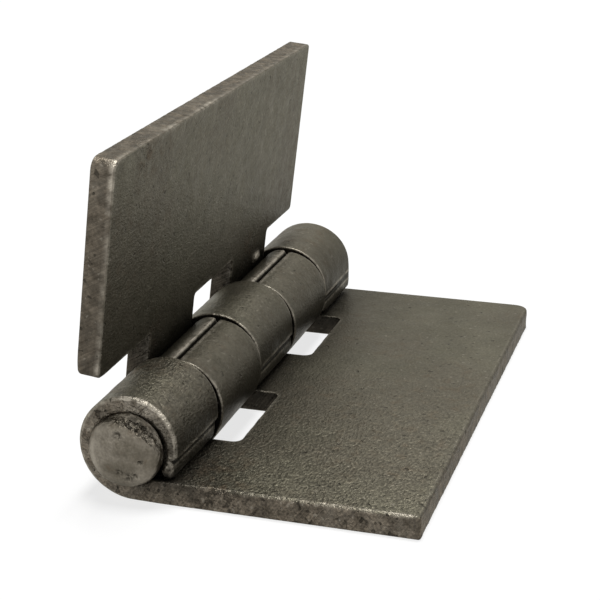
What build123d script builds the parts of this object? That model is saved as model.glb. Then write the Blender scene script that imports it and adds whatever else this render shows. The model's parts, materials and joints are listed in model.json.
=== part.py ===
from build123d import *
import os

# Weld-on flat hinge, in millimetres. Two leaves of plain steel sheet, notched and rolled into
# knuckles, turn on one pin whose ends are upset into domed heads. The pin runs along Y. The base
# leaf lies flat on z = 0 and points to +X, and the swing leaf stands part-open above it.

# Leaves
leaf_length = 100.0  # along the pin
leaf_reach = 48.0  # pin axis to free edge
sheet = 4.0  # thickness of the sheet
opening = 83.0  # degrees between the leaves as the hinge stands
swing_forward = 2.8  # the swing leaf's front end stands this far before the base leaf's
notch_edge = 12.1  # pin axis to the edge of the notches that clear the other leaf's knuckles
notch_corner = 1.5  # radius in the inner corners of the notches

# Corners of the leaves, seen square on
base_far_corner = 3.0
swing_front_corner = 2.0
plain_corner = 0.9  # every other outer corner
edge_break = 0.5  # broken edge all round the outside of the sheet

# Knuckles, from the front: base, swing, base, swing, base
end_knuckle = 18.5
swing_knuckle = 21.5
knuckle_gap = 0.5  # between the ends of neighbouring knuckles

# Closed side of the roll, where the sheet's thinned end is pressed down onto the pin
side_wall = 2.9  # wall above the crease
tongue_wall = 2.1  # wall below it
tongue_gap = 0.35  # tip of the tongue to the leaf's inner face
crease_drop = 1.4  # pin axis down to the floor of the crease
crease_depth = 1.25
crease_upper = 0.5  # height of the crease's upper flank
crease_lower = 0.45  # height of its lower flank

# Pin and its heads
pin_diameter = 10.0
pin_clearance = 0.08  # radial, pin to knuckle
mouth_diameter = 13.2  # countersink in the outer ends of the barrel
head_diameter = 12.6
head_proud = 1.7  # end of the barrel to the rim of the head's dome
head_rise = 0.9  # rim to crown
head_break = 0.8  # broken edge at the rim

bore_radius = pin_diameter / 2 + pin_clearance
roll_radius = bore_radius + sheet
half_length = leaf_length / 2
half_gap = knuckle_gap / 2
first_joint = half_length - end_knuckle  # middle of the gap between knuckles 1 and 2, from mid-length
second_joint = first_joint - swing_knuckle  # and between knuckles 2 and 3

# Each leaf is drawn from the pin axis: first direction along the leaf, second towards its inner face
pin_axis = Vector(0, 0, roll_radius)
pin_line = Axis(pin_axis, (0, 1, 0))
base_section_plane = Plane(origin=pin_axis, x_dir=(1, 0, 0), z_dir=(0, -1, 0))
base_blank_plane = Plane(origin=pin_axis, x_dir=(1, 0, 0), z_dir=(0, 0, 1))
swing_along = Vector(1, 0, 0).rotate(Axis.Y, -opening)
swing_section_plane = Plane(origin=pin_axis, x_dir=swing_along, z_dir=(0, 1, 0))
swing_blank_plane = Plane(origin=pin_axis, x_dir=swing_along, z_dir=swing_along.cross(Vector(0, 1, 0)))


def rolled_section():
    """Section of a leaf across the pin: flat sheet, roll, crease and the tongue that closes the eye."""
    side = bore_radius + side_wall
    tongue_side = bore_radius + tongue_wall
    tip_round = tongue_wall / 2
    tip_centre = tongue_gap + tip_round - bore_radius
    with BuildSketch() as section:
        with BuildLine():
            Line((leaf_reach, -roll_radius), (0, -roll_radius))
            CenterArc((0, 0), roll_radius, 270, -180)
            CenterArc((0, roll_radius - side), side, 90, -90)
            Polyline(
                (side, roll_radius - side),
                (side, crease_upper - crease_drop),
                (side - crease_depth, -crease_drop),
                (tongue_side, -crease_drop - crease_lower),
                (tongue_side, tip_centre),
            )
            CenterArc((bore_radius + tip_round, tip_centre), tip_round, 0, -180)
            Line((bore_radius, tip_centre), (bore_radius, 0))
            CenterArc((0, 0), bore_radius, 0, 270)
            Polyline((0, -bore_radius), (leaf_reach, -bore_radius), (leaf_reach, -roll_radius))
        make_face()
    return section.sketch


def blank_outline(front, back, strips, front_corner, back_corner):
    """Outline of a leaf's blank seen on its face: a plate with one strip for each knuckle.

    front and back are the ends of the plate along the pin, and strips the ends of each strip.
    """
    root = -roll_radius - sheet
    with BuildSketch() as blank:
        with Locations(((notch_edge + leaf_reach) / 2, (front + back) / 2)):
            Rectangle(leaf_reach - notch_edge, back - front)
        for start, end in strips:
            with Locations(((root + notch_edge) / 2, (start + end) / 2)):
                Rectangle(notch_edge - root, end - start)
        fillet(blank.vertices().group_by(Axis.X)[-1].sort_by(Axis.Y)[0], front_corner)
        fillet(blank.vertices().group_by(Axis.X)[-1].sort_by(Axis.Y)[-1], back_corner)
        at_notch = blank.vertices().filter_by(lambda v: abs(v.X - notch_edge) < 0.01)
        fillet(at_notch.filter_by(lambda v: front < v.Y < back), notch_corner)
        at_notch = blank.vertices().filter_by(lambda v: abs(v.X - notch_edge) < 0.01)
        plate_corners = at_notch.filter_by(lambda v: not front < v.Y < back)
        if plate_corners:
            fillet(plate_corners, plain_corner)
    return blank.sketch


def roll_edges(leaf):
    """Arcs at the ends of the knuckles. The rest of the outside edge runs on smoothly from them."""
    arcs = leaf.edges().filter_by(GeomType.CIRCLE)
    return arcs.filter_by(lambda arc: abs(arc.radius - roll_radius) < 0.01)


base_strips = (
    (-half_length, -first_joint - half_gap),
    (-second_joint + half_gap, second_joint - half_gap),
    (first_joint + half_gap, half_length),
)
swing_strips = (
    (-first_joint + half_gap, -second_joint - half_gap),
    (second_joint + half_gap, first_joint - half_gap),
)

# Base leaf, with a countersunk mouth for the pin at each end of the barrel
mouth_depth = mouth_diameter / 2 - bore_radius
with BuildPart() as base_leaf:
    with BuildSketch(base_section_plane):
        add(rolled_section())
    extrude(amount=leaf_length, both=True)
    with BuildSketch(base_blank_plane):
        add(blank_outline(-half_length, half_length, base_strips, plain_corner, base_far_corner))
    extrude(amount=2 * roll_radius, both=True, mode=Mode.INTERSECT)
    chamfer(roll_edges(base_leaf), edge_break)
    with BuildSketch(base_blank_plane):
        with BuildLine():
            Polyline(
                (0, half_length - mouth_depth),
                (bore_radius, half_length - mouth_depth),
                (mouth_diameter / 2, half_length),
                (0, half_length),
                close=True,
            )
        make_face()
        mirror(about=Plane.XZ)
    revolve(axis=pin_line, mode=Mode.SUBTRACT)

# Swing leaf, set a little forward along the pin
with BuildPart() as swing_leaf:
    with BuildSketch(swing_section_plane):
        add(rolled_section())
    extrude(amount=leaf_length, both=True)
    with BuildSketch(swing_blank_plane):
        add(
            blank_outline(
                -half_length - swing_forward,
                half_length - swing_forward,
                swing_strips,
                swing_front_corner,
                plain_corner,
            )
        )
    extrude(amount=2 * roll_radius, both=True, mode=Mode.INTERSECT)
    chamfer(roll_edges(swing_leaf), edge_break)

# Pin, upset at both ends to fill the mouths and stand proud as domed heads
pin_radius = pin_diameter / 2
head_radius = head_diameter / 2
head_rim = half_length + head_proud
cone_start = half_length - mouth_depth
with BuildPart() as pin:
    with BuildSketch(base_blank_plane) as half_profile:
        with BuildLine():
            Polyline(
                (0, head_rim + head_rise),
                (0, 0),
                (pin_radius, 0),
                (pin_radius, cone_start),
                (head_radius, cone_start + head_radius - pin_radius),
                (head_radius, head_rim),
            )
            TangentArc((0, head_rim + head_rise), (head_radius, head_rim), tangent=(1, 0))
        make_face()
        chamfer(half_profile.vertices().filter_by(lambda v: abs(v.Y - head_rim) < 0.01), head_break)
        mirror(about=Plane.XZ)
    revolve(axis=pin_line)

os.makedirs("parts", exist_ok=True)
base_leaf.part.label = "base_leaf"
export_step(base_leaf.part, "parts/base_leaf.step")
swing_leaf.part.label = "swing_leaf"
export_step(swing_leaf.part, "parts/swing_leaf.step")
pin.part.label = "pin"
export_step(pin.part, "parts/pin.step")
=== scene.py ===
import json
import math
from types import SimpleNamespace

import bmesh
import bpy
import numpy as np
from mathutils import Matrix, Vector
from mathutils.geometry import delaunay_2d_cdt


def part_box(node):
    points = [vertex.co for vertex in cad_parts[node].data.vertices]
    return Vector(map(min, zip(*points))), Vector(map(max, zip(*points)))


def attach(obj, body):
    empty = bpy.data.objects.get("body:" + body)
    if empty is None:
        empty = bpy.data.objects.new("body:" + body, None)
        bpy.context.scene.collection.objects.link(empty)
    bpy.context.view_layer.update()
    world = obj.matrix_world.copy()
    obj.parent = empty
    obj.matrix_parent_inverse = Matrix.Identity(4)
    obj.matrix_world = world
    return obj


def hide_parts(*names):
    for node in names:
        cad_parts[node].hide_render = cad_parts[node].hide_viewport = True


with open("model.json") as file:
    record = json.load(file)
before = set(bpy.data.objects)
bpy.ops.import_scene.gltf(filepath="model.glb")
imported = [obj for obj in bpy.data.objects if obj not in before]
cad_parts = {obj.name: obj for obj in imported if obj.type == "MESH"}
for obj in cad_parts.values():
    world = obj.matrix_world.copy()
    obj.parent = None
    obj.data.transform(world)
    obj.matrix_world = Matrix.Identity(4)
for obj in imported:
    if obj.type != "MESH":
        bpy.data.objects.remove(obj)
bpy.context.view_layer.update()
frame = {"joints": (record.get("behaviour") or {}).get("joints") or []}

# Sizes from the frame. Lengths are in millimetres unless a comment says otherwise.
MM = 0.001
base_low, base_high = (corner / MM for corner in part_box("base_leaf"))
swing_low, swing_high = (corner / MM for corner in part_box("swing_leaf"))
pin_crown = (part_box("pin")[1] / MM).y
leaf_reach = base_high.x
half_length = base_high.y
pin_span = (-half_length, half_length)
roll_radius = -base_low.x
pin_height = frame["joints"][0]["pos_m"][2] / MM

# Sizes that repeat the part's own
opening = math.radians(83)
sheet = 4.0
bore_radius = roll_radius - sheet
notch_edge = 12.1
base_notch_corner = 1.5
base_far_corner = 3.0
swing_front_corner = 2.0
plain_corner = 0.9
end_knuckle = 18.5
swing_knuckle = 21.5
knuckle_gap = 0.5
side_wall = 2.9
tongue_wall = 2.1
tongue_gap = 0.35
crease_drop = 1.4
crease_depth = 1.25
crease_upper = 0.5
mouth_radius = 6.6
pin_radius = 5.0
head_radius = 6.3
dome_rise = 0.9
head_start = half_length - (mouth_radius - bore_radius)
cone_end = head_start + head_radius - pin_radius

# Sizes that differ a little from the part's, as the photo shows them
base_front_corner = 0.4
swing_notch_corner = 0.6
crease_lower = 0.7
free_edge = 0.04  # drawn in, since the CAD edge is broken more than this one

# Mesh of a leaf
grain_step = 0.45  # distance between mesh points on the faces
crease_step = 0.15  # finer along the crease
crease_reach = 2.6  # how far before the crease the finer steps start
turn_count = 90  # points of the section round the roll
close_count = 45  # and down to its closed side
corner_count = 9  # points of an outline on each corner
round_steps = 5  # over each round of an edge
cut_steps = 4  # across the sheared edge between the two rounds
same_place = 1e-6  # points of an outline that are nearer than this are one
only_inside = 1  # the triangulation's choice that keeps what lies inside the outline
triangle_slack = 1e-7
end_slack = 0.01  # points this near to the barrel's ends count as on them
notch_slack = 0.1  # and this near to the notches' edge as in the notch

# Edges of a leaf
plate_edge = 0.22  # rounding of the plate's outer edges
face_edge = 0.32  # and of the inner ones
base_rollover = 0.75  # where the shear rolled the base leaf's front and free edges over
ring_edge = 0.7  # outer ends of the barrel
joint_edge = 0.36  # ends of the knuckles inside the barrel
tip_round = 0.95  # rounder end of the tongue
tip_corner = 1.3
corner_round = 0.6  # extra rounding of the swing leaf's lower front corner
inner_corner = 0.5  # share of it on the inner face
corner_reach = 1.5  # the rollover fades out this near to a leaf's front corner
mouth_blend = 0.3  # growth over which a round edge turns into the flat of a countersunk mouth
shear_depth = 0.07  # roughness of the sheared edges
shear_gain = 0.5
score_pitch = 1.1
score_stretch = (1, 0.25)  # the scores run across the edge
score_level = 0.5
hollow_pitch = 3 * score_pitch
hollow_level = 0.4
shear_slant = 0.7  # run of the shear's scores along the edge for each unit of depth

# Faces and roll of a leaf. Each wave is a share, a wavelength and a step from the seed.
wave_spread = (0.7, 1.4)  # shortest and longest part of a ripple, in wavelengths
face_wave = 0.03  # waviness of the faces
face_waves = ((0.5, 14.0, 0), (0.5, 5.0, 5))
most_wave = 2
base_swell = 0.45  # the base knuckles' closed sides stand out about this far near the front, and twice at the back
swing_swell = 0.6
swell_run = 12.0  # distance from the front end over which the base knuckles' swell comes in
crease_fill = 0.45  # the base leaf's crease is narrower than the swing leaf's
swing_crease = (1.1, 0.75, 0.35)  # upper lip, floor and lower lip of the swing leaf's crease, above the section's lip
tongue_fall = 1.9  # that tongue is round: its end lies this far below its crest
lip_fall = 0.3  # and its upper lip this far
crest_run = 0.45  # lip to crest
crest_width = 0.6

# Wear, dirt, painted highlights and painted shade of a leaf
# painted highlights, partly wear: share of the worn edges' brightness on the flat plate, on the beads, and at a leaf's
# shines
plate_shine = 0.6
bead_shine = 6.0
rim_shine = 2.0
lip_width = 0.25  # of the painted highlights on the lips beside the crease
top_rub = 0.22  # painted highlight on the tops of the knuckles
rub_level = 0.2  # height above the pin where the painted highlight starts, in roll radii
far_rub = 0.3  # share of it left at the far end
edge_fade = 0.3  # how far the worn edge, with its painted highlight, reaches into a face
cut_fade = 2  # how fast it fades over the round of a cut
band_depth = 0.8  # share of the barrel's outer round that keeps a bright painted highlight
band_wear = 0.8  # and how much of the fade it is spared
burnish_depth = 0.5  # of the bright line on the swing leaf's sheared edges, below its inner face: the real burnished band with a painted sheen
burnish_width = 0.3
burnish_gain = 0.8
ring_wear = 0.4  # painted highlight: the barrel's end rings are a little brighter than the other cuts
inner_share = 0.9  # depth, in sheets, from which a point is on the inner face
joint_dirt_start = 0.6  # share of a round from which the painted shade in the joints shows
crease_fade = 0.15  # the painted shade, with dirt, in the crease fades over this
crease_spill = 0.1  # and reaches this far over the tongue
# painted shade towards the tongue's tip: strength, how fast it rises, and where it starts
tip_dirt = 0.85
tip_dirt_rise = 2.2
tip_dirt_start = 0.9
grime_turn = -10.0  # middle of the painted shade on the knuckles' side, in degrees from +X towards +Z
grime_spread = 80.0
grain_places = (-half_length, -15, 10, half_length)  # along the pin, where a leaf's strength of grain is given

# Mesh of the pin
pin_sides = 120
cone_shares = np.linspace(0.1, 1, 6)
side_rows = 6
rim_rows = 9
rim_round = 1.6
rim_turn = 77  # degrees from the head's side to its dome
dome_rows = 22
dome_inner = 0.25  # radius of the dome's innermost row
pin_seed = 70
head_dent = 0.06
dent_waves = ((0.6, 4.0, 0), (0.4, 1.6, 2))
most_dent = 3
side_dents = 5.0  # the dents narrow a head outside this radius
end_dents = 6.0  # and lower its end inside this one
chip_turn = math.radians(62)  # chipped place on the front head's rim, from +X towards +Z
chip_spread = 0.7
chip_depth = 1.0
chip_waves = ((0.35, 1.0, 5),)
chip_start = 4.0  # radius where the chip starts, and the width over which it deepens
chip_fade = 2.0
# painted shade, partly dirt, in the chip's gap: radius where it starts, and width over which it comes in
chip_dirt_start = 5.4
chip_dirt_fade = 0.5
head_pits = (  # X and Z from the pin's axis, radius and depth
    (-0.6, 3.4, 0.6, 0.3),
    (-0.4, -3.4, 0.55, 0.28),
    (1.1, -4.1, 0.7, 0.3),
    (2.2, -3.5, 0.5, 0.24),
    (3.2, -1.0, 0.4, 0.2),
)
mouth_slack = 0.05
head_sag = 0.07  # share by which the upper half of a head is flattened
head_shift = -0.65  # the upset heads lean this far along X over the end of the barrel
lean_length = 0.8
rub_turn = math.radians(185)  # side of the heads' rims with a painted highlight
rub_spread = 0.75
rub_radius = 5.4
rub_width = 0.7
weld_distance = 1e-7  # in metres

# Colours, linear
steel_dark = (0.106, 0.098, 0.071, 1.0)
steel_light = (0.136, 0.126, 0.092, 1.0)
rust_brown = (0.092, 0.063, 0.038, 1.0)
steel_brown = (0.108, 0.092, 0.072, 1.0)
cut_dark = (0.064, 0.053, 0.039, 1.0)
cut_brown = (0.138, 0.115, 0.086, 1.0)
# lighter steel of specks and worn edges, and the colour of painted highlights
bright_steel = (0.38, 0.345, 0.285, 1.0)
edge_sheen = (0.68, 0.67, 0.63, 1.0)  # holds back the glare at grazing angles
# darkest steel, of pits and of painted shade round the barrel and in the front head's chip
deep_pit = (0.025, 0.022, 0.017, 1.0)
# painted shade in the crease (partly dirt), the joints, the tongues' tips and along the free edge
crease_black = (0.011, 0.010, 0.008, 1.0)
pin_dark = (0.122, 0.107, 0.082, 1.0)
pin_light = (0.215, 0.192, 0.155, 1.0)
floor_grey = (0.3, 0.3, 0.3, 1.0)
white = (1.0, 1.0, 1.0, 1.0)

# Noises of the steels: size of a feature, and detail
noise_roughness = 0.55
grain_noise = (0.45, 2.0)
grain_stretch = (1.0, 0.55, 1.0)  # the grain is drawn out along the pin, as the sheet was rolled
fine_noise = (0.2, 1.0)
mottle_noise = (7.0, 5.0)
cloud_noise = (26.0, 3.0)
patch_noise = (2.2, 4.0)
speck_noise = (0.8, 0.0)
eaten_noise = (0.8, 2.0)
pit_noise = (0.9, 0.0)
worn_noise = (1.6, 3.0)
pin_grain_noise = (0.4, 3.0)
pin_mottle_noise = (3.0, 4.0)
pin_pit_noise = (0.8, 3.0)
pin_rust_noise = (2.6, 5.0)
streak_scale = 2.0
streak_detail = 3.0

# Spans of a noise over which a layer of the steels comes in, then pairs of values that a layer goes between
even_span = (0.30, 0.70)
brown_span = (0.40, 0.62)
haze_cloud_span = (0.42, 0.60)
haze_span = (0.50, 0.72)
rust_span = (0.42, 0.62)
speck_span = (0.74, 0.80)
eaten_span = (0.47, 0.36)
pit_span = (0.24, 0.18)
cut_span = (0.4, 0.9)
cut_tone_span = (0.35, 0.65)
worn_span = (0.34, 0.60)
pin_pit_span = (0.60, 0.40)
pin_rust_span = (0.56, 0.75)
pin_rub_span = (0.35, 0.6)
streak_greys = (0.76, 1.22)
grain_greys = (0.48, 1.60)
worn_greys = (0.15, 1.0)
sheet_roughness = (0.36, 0.48)
pin_grain_greys = (0.80, 1.18)
pin_rub_greys = (0.4, 1.0)

# Strengths of those layers
brown_share = 0.35
haze_share = 0.30
rust_share = 0.75
speck_share = 0.3
# strength of the painted shade and dirt round the barrel
grime_share = 0.84
# of the wear with painted highlights
worn_share = 0.75
pit_share = 0.7
# of the painted shade in the crease, joints, tips and free edge
crease_share = 0.92
fine_relief = 0.35
pit_relief = -1.2
score_relief = 0.8
sheet_relief = 0.0003  # in metres
sheet_specular = 0.3
pin_rust_share = 0.6
# of the painted highlight on the heads' rims
pin_rub_share = 0.6
pin_pit_share = 0.85
pin_pit_relief = -2.0
pin_relief_share = 0.6
pin_relief = 0.0002  # in metres
pin_roughness = 0.38
metal_share = 0.9

# Camera, floor and light
camera_place = Vector((95.342, -264.847, 117.673))
camera_azimuth = math.radians(17.24)
camera_elevation = math.radians(19.62)
camera_roll = math.radians(-0.22)
camera_lens = 95.749
camera_sensor = 36
camera_near, camera_far = 0.01, 20  # in metres
floor_size = 4000
floor_drop = 0.02  # below the part
floor_glow = 0.76
near_floor = 300  # from here the floor's own white rises, as the lamps fall off
far_floor = 1200
ambient = 0.04
lamp_aim = Vector((10, 0, 20))
key_place = Vector((20, 120, 1200))
key_size = 420
key_power = 13.0
fill_place = Vector((-300, -900, 350))
fill_size = 500
fill_power = 1.0


def ripple(points, wavelength, seed, waves=24):
    """Smooth random field of about unit size at the given points, summed from plane waves."""
    draw = np.random.default_rng(seed)
    directions = draw.normal(size=(waves, points.shape[1]))
    directions /= np.linalg.norm(directions, axis=1)[:, None]
    directions *= 2 * math.pi / (wavelength * draw.uniform(*wave_spread, waves))[:, None]
    phases = draw.uniform(0, 2 * math.pi, waves)
    return np.sin(points @ directions.T + phases).sum(1) * math.sqrt(2 / waves)


def uneven(points, waves, seed):
    """1 at each point, varied by a ripple for each of the waves."""
    height = 1
    for share, wavelength, step in waves:
        height = height + share * ripple(points, wavelength, seed + step)
    return height


def bell(distance, width):
    """1 at no distance, falling smoothly to 0 beyond the width."""
    return np.exp(-((distance / width) ** 2))


def spot(points, x, y, radius):
    """1 at a place, falling smoothly to 0 beyond the radius."""
    return np.exp(-((points[:, 0] - x) ** 2 + (points[:, 1] - y) ** 2) / radius**2)


def near_spots(points, spots):
    """How close each point is to any of the spots, from 0 to 1. A spot is two coordinates and a radius."""
    found = np.zeros(len(points))
    for place in spots:
        found = np.maximum(found, spot(points, *place))
    return found


def arc(centre, radius, start, end, count):
    """Points on an arc, in degrees, both ends included."""
    turn = np.radians(np.linspace(start, end, count))
    return np.c_[centre[0] + radius * np.cos(turn), centre[1] + radius * np.sin(turn)]


def rolled_section():
    """The two faces of a rolled leaf across the pin, as matching rows of points from free edge to tongue.

    The first coordinate runs along the leaf from the pin axis, the second towards its inner face.
    """
    side = bore_radius + side_wall
    tongue_side = bore_radius + tongue_wall
    tip = tongue_gap - bore_radius
    outer = np.vstack([
        [(leaf_reach, -roll_radius)],
        arc((0, 0), roll_radius, 270, 90, turn_count),
        arc((0, roll_radius - side), side, 90, 0, close_count)[1:],
        [(side, crease_upper - crease_drop), (side - crease_depth, -crease_drop)],
        [(tongue_side, -crease_drop - crease_lower), (tongue_side, tip)],
    ])
    inner = np.vstack([
        [(leaf_reach, -bore_radius)],
        arc((0, 0), bore_radius, 270, 90, turn_count),
        arc((0, 0), bore_radius, 90, 0, close_count)[1:],
        [(bore_radius, crease_upper - crease_drop), (bore_radius, -crease_drop)],
        [(bore_radius, -crease_drop - crease_lower), (bore_radius, tip)],
    ])
    steps = np.linalg.norm(np.diff(outer, axis=0), axis=1)
    return np.r_[0, np.cumsum(steps)], outer, inner


section_run, outer_face, inner_face = rolled_section()
tongue_end = section_run[-1]
lip_run, crease_run, tongue_run = section_run[-4:-1]
crease_runs = (lip_run, crease_run, tongue_run)
notch_run = leaf_reach - notch_edge


def on_face(face, run):
    """Points of one face of the section at the given distances from the free edge."""
    return np.c_[np.interp(run, section_run, face[:, 0]), np.interp(run, section_run, face[:, 1])]


def thickness(run):
    """Distance between the faces of the section."""
    return np.linalg.norm(on_face(outer_face, run) - on_face(inner_face, run), axis=1)


def rolled_share(run):
    """0 on the flat of a leaf and 1 on its roll, by distance from the free edge."""
    return np.clip((run - leaf_reach) / roll_radius + 0.5, 0, 1)


def rounded_outline(corners):
    """Closed outline through (run, along, radius) corners, as evenly spaced points with inward normals."""
    points = []
    for before, here, after in zip(corners[-1:] + corners[:-1], corners, corners[1:] + corners[:1]):
        here_point = Vector(here[:2])
        back = (Vector(before[:2]) - here_point).normalized()
        ahead = (Vector(after[:2]) - here_point).normalized()
        centre = here_point + (back + ahead) * here[2]
        for part in np.linspace(0, 1, corner_count):
            turn = math.radians(90 * part)
            points.append(centre - here[2] * (ahead * math.cos(turn) + back * math.sin(turn)))
    loop = np.array([tuple(p) for p in points])
    closed = np.vstack([loop, loop[:1]])
    length = np.r_[0, np.cumsum(np.linalg.norm(np.diff(closed, axis=0), axis=1))]
    keep = np.r_[True, np.diff(length) > same_place]
    even = np.linspace(0, length[-1], round(length[-1] / grain_step), endpoint=False)
    loop = np.column_stack([np.interp(even, length[keep], closed[keep, i]) for i in (0, 1)])
    ahead = np.roll(loop, -1, axis=0) - np.roll(loop, 1, axis=0)
    ahead /= np.linalg.norm(ahead, axis=1)[:, None]
    return loop, np.c_[-ahead[:, 1], ahead[:, 0]]


def blank_corners(front, back, strips, front_corner, back_corner, notch_corner):
    """Corners of a leaf's blank, anticlockwise from the front of its free edge, each with its radius."""
    corners = [(free_edge, front, front_corner)]
    if strips[0][0] > front:
        corners += [(notch_run, front, plain_corner), (notch_run, strips[0][0], notch_corner)]
    for number, (start, end) in enumerate(strips):
        if number:
            corners += [(notch_run, strips[number - 1][1], notch_corner), (notch_run, start, notch_corner)]
        corners += [(tongue_end, start, tip_corner), (tongue_end, end, tip_corner)]
    if strips[-1][1] < back:
        corners += [(notch_run, strips[-1][1], notch_corner), (notch_run, back, plain_corner)]
    return corners + [(free_edge, back, back_corner)]


def inside(loop, points):
    """True for each point inside a closed outline."""
    crossings = np.zeros(len(points), int)
    for (x0, y0), (x1, y1) in zip(loop, np.roll(loop, -1, axis=0)):
        if y0 != y1:
            spans = (points[:, 1] < y0) != (points[:, 1] < y1)
            crossings += spans & (points[:, 0] < x0 + (points[:, 1] - y0) * (x1 - x0) / (y1 - y0))
    return crossings % 2 == 1


def nearest(loop, points):
    """Distance from each point to the nearest point of an outline."""
    found = np.full(len(points), np.inf)
    for x, y in loop:
        found = np.minimum(found, (points[:, 0] - x) ** 2 + (points[:, 1] - y) ** 2)
    return np.sqrt(found)


def sheet_face(loop, inward, inset):
    """Points and triangles of one face of a blank. Its outline, drawn in by inset, gives the first points."""
    rim = loop + inward * inset[:, None]
    fine_from = crease_run - crease_reach
    runs = np.r_[np.arange(0, fine_from, grain_step), np.arange(fine_from, tongue_end, crease_step)]
    alongs = np.arange(loop[:, 1].min(), loop[:, 1].max(), grain_step)
    grid = np.stack(np.meshgrid(runs, alongs), -1).reshape(-1, 2)
    grid = grid[inside(rim, grid)]
    grid = grid[nearest(rim, grid) > grain_step / 2]
    points = np.vstack([rim, grid])
    order = list(range(len(rim)))
    made = delaunay_2d_cdt([Vector(p) for p in points], [], [order], only_inside, triangle_slack)
    if len(made[0]) != len(points):
        raise ValueError(f"outline crosses itself: {len(points)} points became {len(made[0])}")
    return points, np.array(made[2])


def edge_sizes(loop, at_end, leaf):
    """Sizes of the outer and inner round at each point of an outline, and how flat the inner one is.

    It is flat in the countersunk mouths at the barrel's ends.
    """
    run, along = loop.T
    at_tip = np.clip((run - tongue_end + 2 * tip_round) / tip_round, 0, 1)
    rounder = corner_round * near_spots(loop, leaf.rounds)
    outer_size = plate_edge + rolled_share(run) * (np.where(at_end, ring_edge, joint_edge) - plate_edge)
    outer_size = outer_size + rounder
    outer_size = outer_size + (tip_round - outer_size) * at_tip
    rolled_over = (run < notch_run - notch_slack) & (along < half_length - base_far_corner)
    at_corner = near_spots(loop, [(*leaf.corners[0][:2], corner_reach)])
    inner_size = face_edge + (leaf.rollover - face_edge) * rolled_over * (1 - at_corner)
    inner_size = inner_size + inner_corner * rounder
    inner_size = inner_size + (tip_round - inner_size) * at_tip
    bevel = at_end * np.clip(mouth_radius - np.hypot(*on_face(inner_face, run).T), 0, None)
    flatness = np.clip((bevel - inner_size) / mouth_blend, 0, 1)
    return outer_size, np.maximum(inner_size, bevel), flatness


def edge_rings(outer_size, inner_size, flatness, thick):
    """Rings of points round the edge: outer round, sheared middle, inner round or countersink.

    Each is its distance inside the outline, its depth below the outer face, and how far it belongs to the cut.
    """
    rings = []
    for part in np.linspace(0, 1, round_steps + 1):
        turn = math.radians(90 * part)
        rings.append((outer_size * (1 - math.sin(turn)), outer_size * (1 - math.cos(turn)), part))
    middle = thick - inner_size - outer_size
    for part in np.linspace(0, 1, cut_steps + 1)[1:-1]:
        rings.append((np.zeros(len(thick)), outer_size + middle * part, 1.0))
    for part in np.linspace(1, 0, round_steps + 1):
        turn = math.radians(90 * part)
        inset = inner_size * ((1 - flatness) * (1 - math.sin(turn)) + flatness * (1 - part))
        depth = inner_size * ((1 - flatness) * (1 - math.cos(turn)) + flatness * part)
        rings.append((inset, thick - depth, part))
    return rings


def torn(walk, below, part, seed):
    """Depth that the shear tore off an edge: fine scores across it, and longer hollows."""
    places = np.c_[walk, below]
    scores = np.clip(score_level + shear_gain * ripple(places * score_stretch, score_pitch, seed + 1), 0, 1)
    hollows = np.clip(hollow_level + shear_gain * ripple(places, hollow_pitch, seed + 2), 0, 1)
    return shear_depth * part * scores + shear_depth * part * hollows


def placed(blank, depth, axes):
    """Places in the row frame of points that lie at a depth in a blank, once it is rolled."""
    out_at, in_at = on_face(outer_face, blank[:, 0]), on_face(inner_face, blank[:, 0])
    through = in_at - out_at
    through /= np.linalg.norm(through, axis=1)[:, None]
    flat = out_at + through * depth[:, None]
    along_leaf, along_pin, to_inner = axes
    places = np.outer(flat[:, 0], along_leaf) + np.outer(blank[:, 1], along_pin) + np.outer(flat[:, 1], to_inner)
    places[:, 2] += pin_height
    return places


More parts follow.
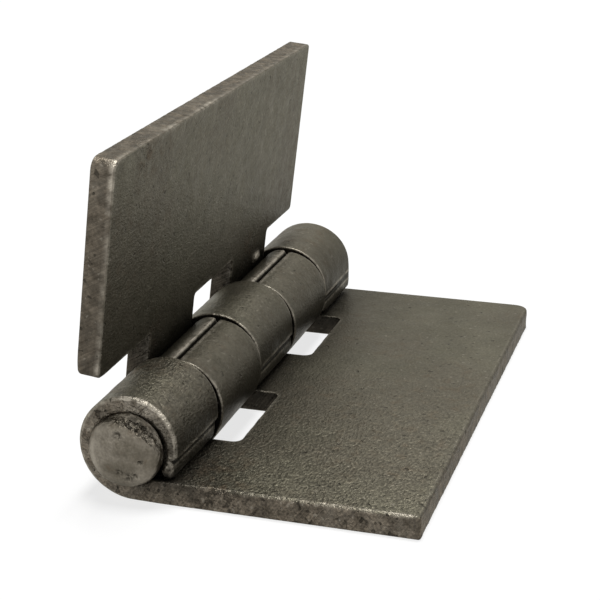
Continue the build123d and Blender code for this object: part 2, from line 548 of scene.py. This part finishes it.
def leaf_mesh(name, leaf):
    """A leaf as one rolled sheet with rounded, sheared edges, and what its material reads at each vertex.

    Roughness takes metal off the CAD shape. The swell of the roll and the beads add a little.
    """
    loop, inward = rounded_outline(leaf.corners)
    count = len(loop)
    walk = np.arange(count) * grain_step
    loop_run = loop[:, 0]
    at_end = np.abs(np.abs(loop[:, 1]) - half_length) < end_slack
    rolled = rolled_share(loop_run)
    thick = thickness(loop_run)
    outer_size, inner_size, flatness = edge_sizes(loop, at_end, leaf)
    rings = edge_rings(outer_size, inner_size, flatness, thick)
    outer_points, outer_tris = sheet_face(loop, inward, rings[0][0])
    inner_points, inner_tris = sheet_face(loop, inward, rings[-1][0])

    # Vertices: place on the blank, depth, share of cut, distance from the edge, walk along the edge, and painted shade
    # with dirt
    moved = leaf.moved(outer_points[:, 0])
    plain = np.zeros(len(outer_points))
    groups = [(
        outer_points,
        wear(outer_points, leaf.seed) - leaf.swelled(*outer_points.T),
        plain,
        nearest(loop, outer_points),
        plain,
        np.maximum(in_crease(moved), tongue_dirt(moved)),
    )]
    # painted shade deep in the cut faces of the joints between knuckles and of the notches
    in_joint = np.where(at_end, 0, np.where(loop_run > leaf_reach, 1.0, leaf.notch_dirt))
    in_joint = in_joint * (loop_run > notch_run - notch_slack)
    # painted shade at the tongue's tip
    on_tip = tongue_dirt(leaf.moved(loop_run)) * ~at_end
    for inset, below, part in rings[1:-1]:
        # painted highlight kept on the barrel's outer round and its end rings
        banded = np.where(below < outer_size * band_depth, 1 - band_wear * rolled, 1)
        # painted sheen on the real burnished band
        line = bell(thick - below - burnish_depth, burnish_width) * leaf.burnished
        fade = cut_fade * part * banded * (1 - line) * (1 - ring_wear * at_end * rolled) - burnish_gain * line
        deep = np.clip((part - joint_dirt_start) / (1 - joint_dirt_start), 0, 1)
        groups.append((
            loop + inward * (inset + torn(walk, below, part, leaf.seed))[:, None],
            below - leaf.swelled(*loop.T) * (1 - below / thick),
            np.full(count, part),
            edge_fade * fade,
            walk + shear_slant * below,
            np.maximum(in_joint * deep, on_tip),
        ))
    plain = np.zeros(len(inner_points))
    groups.append((
        inner_points,
        thickness(inner_points[:, 0]) - wear(inner_points, leaf.seed + 3, leaf.marks),
        plain,
        nearest(loop, inner_points),
        plain,
        plain,
    ))
    blanks, *others = zip(*groups)
    blank = np.vstack(blanks)
    depth, cut, edge, walked, dirt = (np.hstack(values) for values in others)
    places = placed(blank, depth, leaf.axes)

    # Faces of the two sides, then of the edge, ring by ring
    first_inner = len(outer_points) + (len(rings) - 2) * count
    starts = [0, *range(len(outer_points), first_inner + 1, count)]
    here = np.arange(count)
    ahead = (here + 1) % count
    faces = outer_tris.tolist() + (inner_tris[:, ::-1] + first_inner).tolist()
    for low, high in zip(starts, starts[1:]):
        faces += np.c_[low + ahead, low + here, high + here, high + ahead].tolist()
    if np.linalg.det(leaf.axes) < 0:
        faces = [face[::-1] for face in faces]

    mesh = bpy.data.meshes.new(name)
    mesh.from_pydata((places * MM).tolist(), [], faces)
    run, along = blank.T
    on_inner = np.clip(depth / sheet, 0, 1)
    at_free = np.exp(-run / edge_fade)
    # even darkening of the leaf along the pin; a negative share lightens it
    clean = 1 - np.interp(along, pin_span, leaf.film)
    store(mesh, "cut", cut)
    # wear with painted highlights on the edges, and painted highlights on the lips, crest, beads and tops
    store(mesh, "edge", worn(blank, places, edge, cut, on_inner, at_free, leaf))
    store(mesh, "walk", walked)
    store(mesh, "stain", near_spots(blank, leaf.stains))
    # painted shade, partly dirt, round the barrel and painted shade on its side, with the even darkening along the pin
    store(mesh, "grime", 1 - clean * (1 - grime_at(blank, places, on_inner, leaf)))
    # painted shade in the crease, partly dirt, and in the joints, at the tongue's tip and along the free edge
    store(mesh, "crease", np.maximum(dirt, leaf.edge_dirt * at_free * (cut < 1)))
    store(mesh, "sand", np.interp(along, grain_places, leaf.grain))
    mesh.shade_smooth()
    mesh.update()
    return mesh


def worn(blank, places, edge, cut, on_inner, at_free, leaf):
    """How bright each vertex is: worn edges with painted highlights, and painted highlights on the lips of the crease,
    the crest of the tongue, the beads and the knuckles' tops.
    """
    run = blank[:, 0]
    moved = leaf.moved(run)
    rolled = rolled_share(run)
    # painted highlights on the lips beside the crease and on the tongue's crest
    lips = np.maximum(bell(moved - lip_run + lip_width, lip_width), bell(moved - tongue_run - lip_width, lip_width))
    crest = leaf.tongue_shine * bell(moved - tongue_run - crest_run, crest_width)
    # painted glint on the beads
    beads = near_spots(blank, [mark[:3] for mark in leaf.marks if mark[3] < 0]) * (on_inner > inner_share)
    # worn edges with painted highlights, brighter at the shines
    rims = np.exp(-edge / edge_fade) * (plate_shine + (1 - plate_shine) * rolled)
    # painted shade along the base leaf's free edge, which also takes the worn edge's brightness off it
    if leaf.edge_dirt:
        rims *= 1 - at_free
    rims *= 1 + rim_shine * near_spots(blank, leaf.shines)
    # painted highlight on the knuckles' tops
    upward = np.clip((places[:, 2] - pin_height) / roll_radius - rub_level, 0, 1)
    rubbed = top_rub * rolled * upward * (cut == 0) * np.interp(places[:, 1], pin_span, (1, far_rub))
    return np.maximum.reduce([rims, lips, crest, bead_shine * beads, rubbed])


def grime_at(blank, places, on_inner, leaf):
    """Painted shade, partly oil and dirt, round the barrel on the leaves' inner faces, and painted shade on its side
    above the base leaf.
    """
    reach = leaf_reach - blank[:, 0]
    fade = np.interp(blank[:, 1], pin_span, leaf.grime)
    beside = np.where(reach > 0, np.exp(-np.clip(reach - roll_radius, 0, None) / fade), 0) * on_inner
    # painted shade on the barrel's right side
    turn = np.degrees(np.arctan2(places[:, 2] - pin_height, places[:, 0]))
    on_side = np.clip(leaf.side_grime * (1 - np.abs(turn - grime_turn) / grime_spread), 0, 1)
    return np.maximum(beside, np.where(reach <= 0, on_side, 0))


def store(mesh, name, values):
    """Keeps one number for each vertex of a mesh, for its material to read."""
    mesh.attributes.new(name, "FLOAT", "POINT").data.foreach_set("value", values.astype(np.float32))


def wear(points, seed, marks=()):
    """Depth taken off a face of the sheet by its slight waviness and by its marks, (run, along, radius, depth)."""
    depth = face_wave * uneven(points, face_waves, seed).clip(0, most_wave)
    for run, along, radius, dip in marks:
        depth = depth + dip * spot(points, run, along, radius)
    return depth


def closing(run):
    """0 on the round of a knuckle and 1 on its closed side, by distance from the free edge."""
    turned = leaf_reach + math.pi * roll_radius
    return np.sin(np.pi / 2 * np.clip((run - turned) / (lip_run - turned), 0, 1)) ** 2


def in_crease(run):
    """1 in the crease and 0 beside it, by distance from the free edge."""
    return np.clip(np.minimum((run - lip_run) / crease_fade, (tongue_run + crease_spill - run) / crease_fade), 0, 1)


def tongue_dirt(run):
    """Painted shade towards the tip of the tongue, where it meets the leaf."""
    down = (run - tongue_run) / (tongue_end - tongue_run)
    return tip_dirt * np.clip(down * tip_dirt_rise - tip_dirt_start, 0, 1)


def hollow(run):
    """How far the section's crease and tongue lie behind its closed side."""
    return np.interp(run, crease_runs, (0, crease_depth, side_wall - tongue_wall))


def base_moved(run):
    """The section's own distance for a place on the base leaf, whose crease lies where the section has it."""
    return run


def swing_moved(run):
    """The section's own distance for a place beside the swing leaf's crease, which is further from the tongue's tip."""
    upper, floor, lower = (lip_run - above for above in swing_crease)
    places = (upper - lip_run, upper, floor, lower, tongue_end)
    return np.interp(run, places, (0, *crease_runs, tongue_end))


def base_swelled(run, along):
    """Swell of the base knuckles: none at the barrel's front end, and a roll pressed quite shut at its far end."""
    behind = (along + half_length) / (2 * half_length)
    round_out = base_swell * np.clip(behind * 2 * half_length / swell_run, 0, 1) * (1 + behind) * closing(run)
    down = np.clip((run - crease_run) / (tongue_run - crease_run), 0, 1)
    filled = crease_fill * np.minimum(down, 1 - down)
    return round_out + filled + (hollow(run) - filled) * behind


def swing_swelled(run, along):
    """Swell of the swing knuckles, whose tongue is a round bead below the crease. It is the same all along."""
    groove = np.interp(swing_moved(run), crease_runs, (0, crease_depth, lip_fall))
    level_down = np.interp(run, section_run, outer_face[:, 1])
    lip_level = crease_upper - crease_drop + swing_crease[2]
    past = np.where(run > lip_run - swing_crease[2], np.clip(lip_level - level_down, 0, None), 0)
    groove = groove * np.clip(1 - past / crest_run, 0, 1) ** 2
    tongue_length = lip_level - outer_face[-1, 1] - crest_run
    fall = tongue_fall * (np.clip(past - crest_run, 0, None) / tongue_length) ** 2
    return swing_swell * closing(run) + hollow(run) - groove - fall


def piece(name, mesh, body, node, material):
    """A shown piece that stands for one CAD node and rides on its body."""
    obj = bpy.data.objects.new(name, mesh)
    bpy.context.scene.collection.objects.link(obj)
    obj.data.materials.append(material)
    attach(obj, body)
    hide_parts(node)
    return obj


def pin_profile():
    """Half the pin as rows of radius and distance from its middle, out to the crown of a head."""
    dome_radius = (head_radius**2 + dome_rise**2) / (2 * dome_rise)
    rim_inner = head_radius - rim_round
    rim_centre = (rim_inner, pin_crown - rim_inner**2 / (2 * dome_radius) - rim_round)
    rows = [(pin_radius, 0.0), (pin_radius, head_start)]
    for share in cone_shares:
        rows.append((pin_radius + share * (head_radius - pin_radius), head_start + share * (cone_end - head_start)))
    rows += [(head_radius, y) for y in np.linspace(cone_end, rim_centre[1], side_rows)[1:-1]]
    rows += arc(rim_centre, rim_round, 0, rim_turn, rim_rows).tolist()
    dome = np.linspace(rows[-1][0], dome_inner, dome_rows)[1:]
    rows += [(radius, pin_crown - radius * radius / (2 * dome_radius)) for radius in dome]
    return np.array(rows)


def turned_from(turn, middle):
    """Angle from a middle, the shorter way round."""
    return (turn - middle + math.pi) % (2 * math.pi) - math.pi


def pin_mesh(name):
    """The pin as a turned profile whose two heads are hammered and dented. The front one is chipped and pitted."""
    profile = pin_profile()
    turn = np.linspace(0, 2 * math.pi, pin_sides, endpoint=False)
    at_chip = bell(turned_from(turn, chip_turn), chip_spread)
    at_rub = bell(turned_from(turn, rub_turn), rub_spread)
    here = np.arange(pin_sides)
    ahead = (here + 1) % pin_sides

    verts, faces, pits, rubs = [], [], [], []
    for side in (-1, 1):
        first = len(verts)
        for radius, y in profile:
            spots = np.c_[radius * np.cos(turn), np.full(pin_sides, side * y), radius * np.sin(turn)]
            end_on = spots[:, [0, 2]]
            on_head = float(y > cone_end)
            dent = head_dent * on_head * uneven(spots, dent_waves, pin_seed + side).clip(0, most_dent)
            shrink = pitted = np.zeros(pin_sides)
            if side < 0:
                chip_share = np.clip((radius - chip_start) / chip_fade, 0, 1)
                shrink = chip_depth * at_chip * uneven(spots, chip_waves, pin_seed) * on_head * chip_share
                for x, z, size, dip in head_pits:
                    dent = dent + on_head * dip * spot(end_on, x, z, size)
                # painted shade, partly dirt, in the chip's gap
                chip_dirt = at_chip * np.clip((radius - chip_dirt_start) / chip_dirt_fade, 0, 1)
                pitted = on_head * np.maximum(near_spots(end_on, [pit[:3] for pit in head_pits]), chip_dirt)
            scale = (radius - shrink - dent * (radius > side_dents)) / radius
            lean = head_shift * min(max((y - head_start) / lean_length, 0), 1)
            across = np.c_[spots[:, 0] * scale + lean, spots[:, 2] * scale]
            across[:, 1] *= np.where(across[:, 1] > 0, 1 - head_sag * on_head, 1)
            if y < half_length:
                room = bore_radius + max(y - head_start, 0) - mouth_slack
                across *= np.minimum(1, room / np.linalg.norm(across, axis=1))[:, None]
            ends = side * (y - dent * (radius <= end_dents))
            verts += np.c_[across[:, 0], ends, across[:, 1] + pin_height].tolist()
            pits.append(pitted)
            # painted highlight on the left of the heads' rims
            rubs.append(at_rub * bell(radius - rub_radius, rub_width) * on_head)
        verts.append((head_shift, side * (pin_crown - head_dent), pin_height))
        pits.append(np.zeros(1))
        rubs.append(np.zeros(1))

        # Faces between the rows, then round the crown, all turned outwards
        top = len(verts) - 1
        last = top - pin_sides
        facing = -side
        for low in range(first, last, pin_sides):
            high = low + pin_sides
            faces += np.c_[low + here, low + ahead, high + ahead, high + here][:, ::facing].tolist()
        faces += np.c_[last + here, last + ahead, np.full(pin_sides, top)][:, ::facing].tolist()
    mesh = bpy.data.meshes.new(name)
    mesh.from_pydata((np.array(verts) * MM).tolist(), [], faces)
    store(mesh, "pits", np.hstack(pits))
    store(mesh, "rub", np.hstack(rubs))
    work = bmesh.new()
    work.from_mesh(mesh)
    bmesh.ops.remove_doubles(work, verts=work.verts, dist=weld_distance)
    bmesh.ops.recalc_face_normals(work, faces=work.faces)
    work.to_mesh(mesh)
    work.free()
    mesh.shade_smooth()
    return mesh


def add(tree, kind, inputs=None, **settings):
    """A node with its settings. An input is set to a value, or linked where it is another node's socket."""
    node = tree.nodes.new(kind)
    for key, value in settings.items():
        setattr(node, key, value)
    for key, value in (inputs or {}).items():
        if isinstance(value, bpy.types.NodeSocket):
            tree.links.new(value, node.inputs[key])
        else:
            node.inputs[key].default_value = value
    return node


def noise(tree, where, size, detail):
    """Noise whose features are about size millimetres across."""
    inputs = {"Vector": where, "Scale": 1 / (size * MM), "Detail": detail, "Roughness": noise_roughness}
    return add(tree, "ShaderNodeTexNoise", inputs).outputs["Fac"]


def ramp(tree, value, low, high):
    """0 below low, 1 above high, smooth between."""
    inputs = {"Value": value, "From Min": low, "From Max": high}
    return add(tree, "ShaderNodeMapRange", inputs, interpolation_type="SMOOTHSTEP").outputs["Result"]


def level(tree, value, low, high, dark, light):
    """A grey between dark and light as value goes from low to high."""
    inputs = {"Value": value, "From Min": low, "From Max": high, "To Min": dark, "To Max": light}
    return add(tree, "ShaderNodeMapRange", inputs).outputs["Result"]


def maths(tree, operation, a, b):
    """One sum on two numbers."""
    return add(tree, "ShaderNodeMath", {0: a, 1: b}, operation=operation).outputs[0]


def times(tree, a, b):
    """One number times another."""
    return maths(tree, "MULTIPLY", a, b)


def tint(tree, fac, under, over, blend="MIX"):
    """One colour laid over another. The node's colours are its sockets 6 and 7, and its result socket 2."""
    inputs = {"Factor": fac, 6: under, 7: over}
    return add(tree, "ShaderNodeMix", inputs, data_type="RGBA", blend_type=blend).outputs[2]


def stored(tree, name):
    """A number that the mesh keeps for each vertex."""
    return add(tree, "ShaderNodeAttribute", attribute_name=name).outputs["Fac"]


def steel(name):
    """A new material with its node tree, shader and the object's own coordinates."""
    material = bpy.data.materials.new(name)
    material.use_nodes = True
    tree = material.node_tree
    where = add(tree, "ShaderNodeTexCoord").outputs["Object"]
    return material, tree, tree.nodes["Principled BSDF"], where


def dress(tree, shader, colour, relief, strength, distance):
    """Gives a steel's shader its colour and relief, and the metal and sheen that both steels share."""
    bump = add(tree, "ShaderNodeBump", {"Height": relief, "Strength": strength, "Distance": distance})
    tree.links.new(colour, shader.inputs["Base Color"])
    tree.links.new(bump.outputs["Normal"], shader.inputs["Normal"])
    shader.inputs["Metallic"].default_value = metal_share
    shader.inputs["Specular Tint"].default_value = edge_sheen


def mill_steel():
    """Dark bare mill steel: sandy grain, soft mottling, rust tints, specks, and browner sheared edges, with painted
    shade round the barrel, in the crease, joints and tongues' tips, and worn edges with painted highlights.
    """
    material, tree, shader, where = steel("mill_steel")
    drawn = add(tree, "ShaderNodeMapping", {"Vector": where, "Scale": grain_stretch}).outputs["Vector"]
    grain = noise(tree, drawn, *grain_noise)
    fine = noise(tree, where, *fine_noise)
    mottle = noise(tree, where, *mottle_noise)
    cloud = noise(tree, where, *cloud_noise)
    patch = noise(tree, where, *patch_noise)
    sand, cut, edge, stain = (stored(tree, kept) for kept in ("sand", "cut", "edge", "stain"))
    streak_inputs = {"W": stored(tree, "walk"), "Scale": streak_scale, "Detail": streak_detail}
    streak = add(tree, "ShaderNodeTexNoise", streak_inputs, noise_dimensions="1D").outputs["Fac"]
    speck = ramp(tree, noise(tree, where, *speck_noise), *speck_span)
    eaten = times(tree, ramp(tree, noise(tree, where, *eaten_noise), *eaten_span), stain)
    pit = maths(tree, "MAXIMUM", ramp(tree, noise(tree, where, *pit_noise), *pit_span), eaten)
    rust = times(tree, ramp(tree, patch, *rust_span), stain)
    haze = times(tree, ramp(tree, patch, *haze_span), ramp(tree, cloud, *haze_cloud_span))

    colour = tint(tree, ramp(tree, mottle, *even_span), steel_dark, steel_light)
    colour = tint(tree, times(tree, ramp(tree, cloud, *brown_span), brown_share), colour, steel_brown)
    colour = tint(tree, times(tree, haze, haze_share), colour, rust_brown)
    colour = tint(tree, times(tree, rust, rust_share), colour, rust_brown)
    cut_tone = tint(tree, ramp(tree, patch, *cut_tone_span), cut_dark, cut_brown)
    cut_tone = tint(tree, 1.0, cut_tone, level(tree, streak, *even_span, *streak_greys), "MULTIPLY")
    colour = tint(tree, ramp(tree, cut, *cut_span), colour, cut_tone)
    colour = tint(tree, sand, colour, level(tree, grain, *even_span, *grain_greys), "MULTIPLY")
    colour = tint(tree, times(tree, speck, speck_share), colour, bright_steel)
    # painted shade round the barrel and on its right side, partly dirt, with the even darkening along the pin
    colour = tint(tree, times(tree, stored(tree, "grime"), grime_share), colour, deep_pit)
    # wear with painted highlights on edges, the crease's lips, the tongue's crest, beads and knuckles' tops
    bright = times(tree, edge, level(tree, noise(tree, where, *worn_noise), *worn_span, *worn_greys))
    colour = tint(tree, times(tree, bright, worn_share), colour, bright_steel)
    colour = tint(tree, times(tree, pit, pit_share), colour, deep_pit)
    # painted shade in the crease, partly dirt, and painted shade in the joints, at the tongues' tips and along the free
    # edge
    colour = tint(tree, times(tree, stored(tree, "crease"), crease_share), colour, crease_black)

    relief = maths(tree, "ADD", grain, times(tree, fine, fine_relief))
    relief = maths(tree, "ADD", relief, times(tree, pit, pit_relief))
    relief = maths(tree, "ADD", relief, times(tree, times(tree, cut, streak), score_relief))
    dress(tree, shader, colour, relief, sand, sheet_relief)
    tree.links.new(level(tree, patch, *even_span, *sheet_roughness), shader.inputs["Roughness"])
    shader.inputs["Specular IOR Level"].default_value = sheet_specular
    return material


def pin_steel():
    """Bare steel of the pin, hammered bright on its heads and pitted, with a painted highlight on the left of the
    heads' rims and painted shade, partly dirt, in the front head's chip.
    """
    material, tree, shader, where = steel("pin_steel")
    grain = noise(tree, where, *pin_grain_noise)
    mottle = noise(tree, where, *pin_mottle_noise)
    pit = times(tree, stored(tree, "pits"), ramp(tree, noise(tree, where, *pin_pit_noise), *pin_pit_span))
    rust = ramp(tree, noise(tree, where, *pin_rust_noise), *pin_rust_span)
    colour = tint(tree, ramp(tree, mottle, *even_span), pin_dark, pin_light)
    colour = tint(tree, 1.0, colour, level(tree, grain, *even_span, *pin_grain_greys), "MULTIPLY")
    colour = tint(tree, times(tree, rust, pin_rust_share), colour, rust_brown)
    # painted highlight on the left of the heads' rims
    rubbed = times(tree, stored(tree, "rub"), level(tree, mottle, *pin_rub_span, *pin_rub_greys))
    colour = tint(tree, times(tree, rubbed, pin_rub_share), colour, bright_steel)
    colour = tint(tree, times(tree, pit, pin_pit_share), colour, deep_pit)
    relief = maths(tree, "ADD", grain, times(tree, pit, pin_pit_relief))
    dress(tree, shader, colour, relief, pin_relief_share, pin_relief)
    shader.inputs["Roughness"].default_value = pin_roughness
    return material


def make_camera():
    """The photograph's viewpoint, solved from the hinge's own edges."""
    camera = bpy.data.objects.new("camera", bpy.data.cameras.new("camera"))
    bpy.context.scene.collection.objects.link(camera)
    camera.data.sensor_width = camera_sensor
    camera.data.lens = camera_lens
    camera.data.clip_start, camera.data.clip_end = camera_near, camera_far
    turn = Matrix.Rotation(camera_azimuth, 4, "Z") @ Matrix.Rotation(math.pi / 2 - camera_elevation, 4, "X")
    camera.matrix_world = Matrix.Translation(camera_place * MM) @ turn @ Matrix.Rotation(camera_roll, 4, "Z")
    bpy.context.scene.camera = camera


def seen_white(tree):
    """1 for rays that show the background: straight from the camera, or by way of gloss or glass."""
    path = add(tree, "ShaderNodeLightPath").outputs
    both = maths(tree, "MAXIMUM", path["Is Camera Ray"], path["Is Glossy Ray"])
    return maths(tree, "MAXIMUM", both, path["Is Transmission Ray"])


def make_floor():
    """A pale floor that shows nearly white and keeps the hinge's shadow."""
    side = floor_size * MM
    low = -floor_drop * MM
    mesh = bpy.data.meshes.new("floor")
    corners = [(-side, -side, low), (side, -side, low), (side, side, low), (-side, side, low)]
    mesh.from_pydata(corners, [], [(0, 1, 2, 3)])
    floor = bpy.data.objects.new("floor", mesh)
    bpy.context.scene.collection.objects.link(floor)
    material = bpy.data.materials.new("floor")
    material.use_nodes = True
    tree = material.node_tree
    tree.nodes.remove(tree.nodes["Principled BSDF"])
    diffuse = add(tree, "ShaderNodeBsdfDiffuse", {"Color": floor_grey})
    where = add(tree, "ShaderNodeTexCoord").outputs["Object"]
    away = add(tree, "ShaderNodeVectorMath", {0: where}, operation="LENGTH").outputs["Value"]
    brightness = level(tree, away, near_floor * MM, far_floor * MM, floor_glow, 1.0)
    glow = add(tree, "ShaderNodeEmission", {"Strength": times(tree, seen_white(tree), brightness)})
    both = add(tree, "ShaderNodeAddShader", {0: diffuse.outputs[0], 1: glow.outputs[0]})
    tree.links.new(both.outputs[0], tree.nodes["Material Output"].inputs["Surface"])
    mesh.materials.append(material)


def make_world():
    """Even studio surroundings, white to the camera."""
    world = bpy.data.worlds.new("studio")
    bpy.context.scene.world = world
    world.use_nodes = True
    tree = world.node_tree
    background = tree.nodes["Background"]
    background.inputs["Color"].default_value = white
    tree.links.new(level(tree, seen_white(tree), 0.0, 1.0, ambient, 1.0), background.inputs["Strength"])


def make_lamp(name, place, aim, size, power):
    """A soft square lamp at a place in millimetres, turned towards aim."""
    lamp = bpy.data.objects.new(name, bpy.data.lights.new(name, "AREA"))
    bpy.context.scene.collection.objects.link(lamp)
    lamp.data.size = size * MM
    lamp.data.energy = power
    lamp.location = place * MM
    lamp.rotation_euler = (aim - place).to_track_quat("-Z", "Y").to_euler()


bpy.context.scene.view_settings.view_transform = "Standard"
make_camera()
make_floor()
make_world()
make_lamp("key", key_place, lamp_aim, key_size, key_power)
make_lamp("fill", fill_place, lamp_aim, fill_size, fill_power)

first_joint = half_length - end_knuckle
second_joint = first_joint - swing_knuckle
half_gap = knuckle_gap / 2
base_strips = (
    (-half_length, -first_joint - half_gap),
    (-second_joint + half_gap, second_joint - half_gap),
    (first_joint + half_gap, half_length),
)
swing_strips = (
    (-first_joint + half_gap, -second_joint - half_gap),
    (second_joint + half_gap, first_joint - half_gap),
)
swing_along = (math.cos(opening), 0, math.sin(opening))
swing_inner = (math.sin(opening), 0, -math.cos(opening))

# What sets the two leaves apart. axes point along the leaf, along the pin and towards the inner face. moved gives the
# place of the crease, and swelled how far the closed side of the roll stands out. Places on a blank are distance from
# the free edge, place along the pin and radius. marks also have a depth, which is negative for a bead. The reach of the
# painted shade and dirt round the barrel over the leaf, and an even darkening of the leaf that lightens it where it is
# negative, are each given at the front and at the far end. The shines and the tongue's shine are painted highlights,
# the burnished band is real with a painted sheen, and the shade settings paint shade on the barrel's side, in the
# notches and along the free edge.
base = SimpleNamespace(
    corners=blank_corners(
        -half_length, half_length, base_strips, base_front_corner, base_far_corner, base_notch_corner
    ),
    axes=((1, 0, 0), (0, 1, 0), (0, 0, 1)),
    seed=10,
    moved=base_moved,
    swelled=base_swelled,
    rollover=base_rollover,
    rounds=(),
    marks=((37.0, -41.6, 0.5, 0.18), (38.4, -40.3, 0.4, 0.15), (35.5, -43.0, 0.45, 0.12)),
    shines=((3.5, -50.0, 2.5), (7.0, -50.0, 2.0), (14.0, -50.0, 2.5), (79.0, -50.0, 4.0)),
    stains=(
        (66.0, 42.0, 8.0),
        (37.0, -43.0, 6.5),
        (33.0, -49.0, 4.0),
        (66.0, -43.0, 6.0),
        (72.0, -36.0, 5.0),
        (70.0, -46.0, 3.0),
        (41.0, 5.0, 4.0),
    ),
    tongue_shine=0.2,
    burnished=0.0,
    notch_dirt=0.8,
    edge_dirt=0.55,
    grime=(7.5, 12.0),
    side_grime=1.45,
    film=(0.0, 0.05),
    grain=(1.0, 0.65, 0.35, 0.22),
)
swing = SimpleNamespace(
    corners=blank_corners(
        swing_low.y, swing_high.y, swing_strips, swing_front_corner, plain_corner, swing_notch_corner
    ),
    axes=(swing_along, (0, 1, 0), swing_inner),
    seed=40,
    moved=swing_moved,
    swelled=swing_swelled,
    rollover=face_edge,
    rounds=((notch_run, swing_low.y, 1.8),),
    marks=(
        (39.7, 24.0, 0.75, -0.5),
        (39.75, 24.8, 0.7, -0.5),
        (39.9, 25.7, 0.75, -0.45),
        (39.95, 26.5, 0.6, -0.4),
        (12.0, -20.0, 0.8, 0.1),
        (22.0, 12.0, 0.7, 0.1),
    ),
    shines=((3.0, -52.0, 4.0), (0.0, -30.0, 3.0), (0.0, -12.0, 4.0)),
    stains=((37.0, -30.0, 4.0), (37.0, 20.0, 4.0), (2.0, -40.0, 3.0), (70.0, -28.0, 4.0)),
    tongue_shine=2.2,
    burnished=1.0,
    notch_dirt=0.6,
    edge_dirt=0.0,
    grime=(18.5, 13.5),
    side_grime=1.2,
    film=(0.18, -0.06),
    grain=(0.4, 0.4, 0.4, 0.4),
)

base_mesh = leaf_mesh("base_leaf_sheet", base)
swing_mesh = leaf_mesh("swing_leaf_sheet", swing)
sheet_finish = mill_steel()
piece("base_leaf_sheet", base_mesh, "base", "base_leaf", sheet_finish)
piece("swing_leaf_sheet", swing_mesh, "swing", "swing_leaf", sheet_finish)
piece("hinge_pin", pin_mesh("hinge_pin"), "base", "pin", pin_steel())
